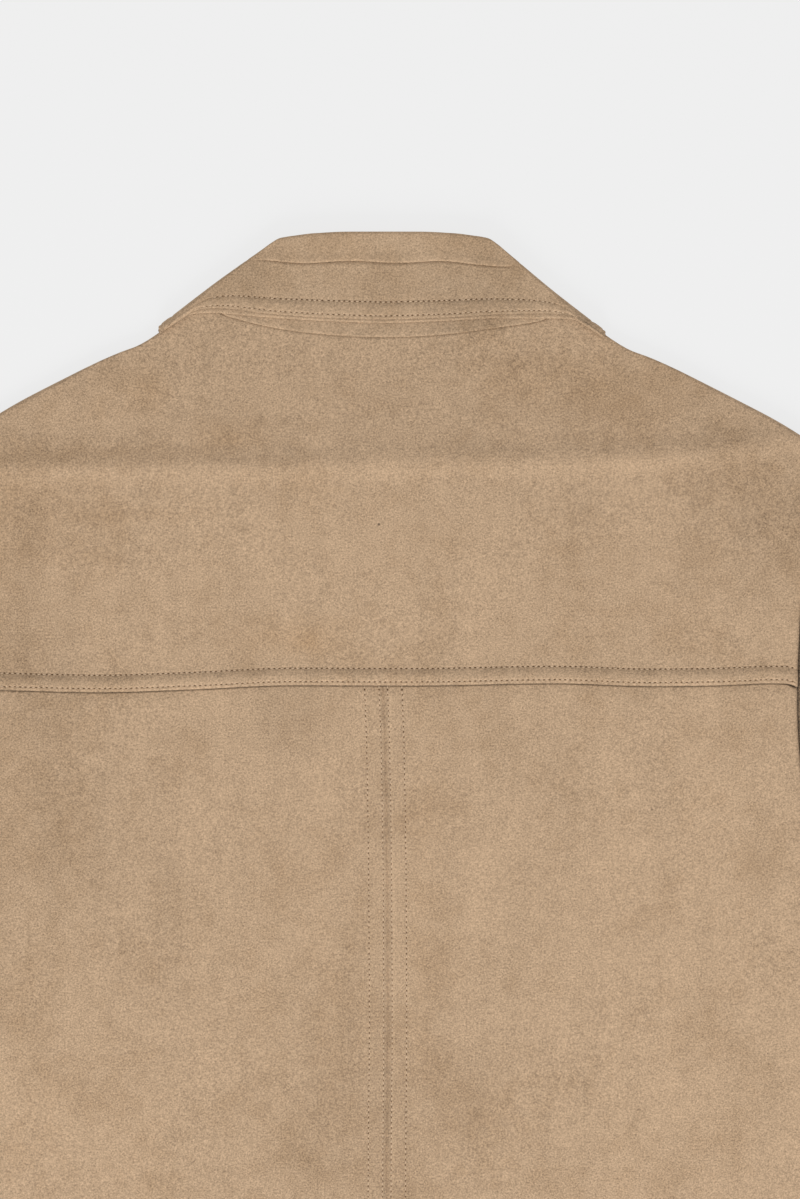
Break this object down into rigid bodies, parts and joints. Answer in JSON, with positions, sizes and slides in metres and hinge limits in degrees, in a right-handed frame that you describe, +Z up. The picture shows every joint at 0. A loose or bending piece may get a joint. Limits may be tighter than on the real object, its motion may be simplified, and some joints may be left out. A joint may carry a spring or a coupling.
{
  "type": "suede jacket laid flat",
  "caption": "Boxy suede jacket lying face down, back up, with a turned-down shirt collar, a back yoke, a centre back seam and sleeves down beside the body.",
  "frame": {"origin": "on the surface the jacket lies on, under the middle of its box", "axes": "+Z up out of the jacket's back, +Y from the hem to the collar, +X to the wearer's right"},
  "size_m": [1.016, 0.7462, 0.0093],
  "materials": {
    "suede": "tan suede, soft nap, matt, mottled",
    "collar_suede": "the same suede on the collar, matt",
    "button_brown": "dark brown horn-look button, satin"
  },
  "bodies": {
    "root": {"back_yoke": "suede", "back_left": "suede", "back_right": "suede", "front_left": "suede", "front_right": "suede", "sleeve_left": "suede", "sleeve_right": "suede", "collar_stand": "collar_suede", "collar_leaf": "collar_suede", "under_collar": "collar_suede", "button_1": "button_brown", "button_2": "button_brown", "button_3": "button_brown", "button_4": "button_brown", "button_5": "button_brown", "button_6": "button_brown"}
  },
  "joints": []
}
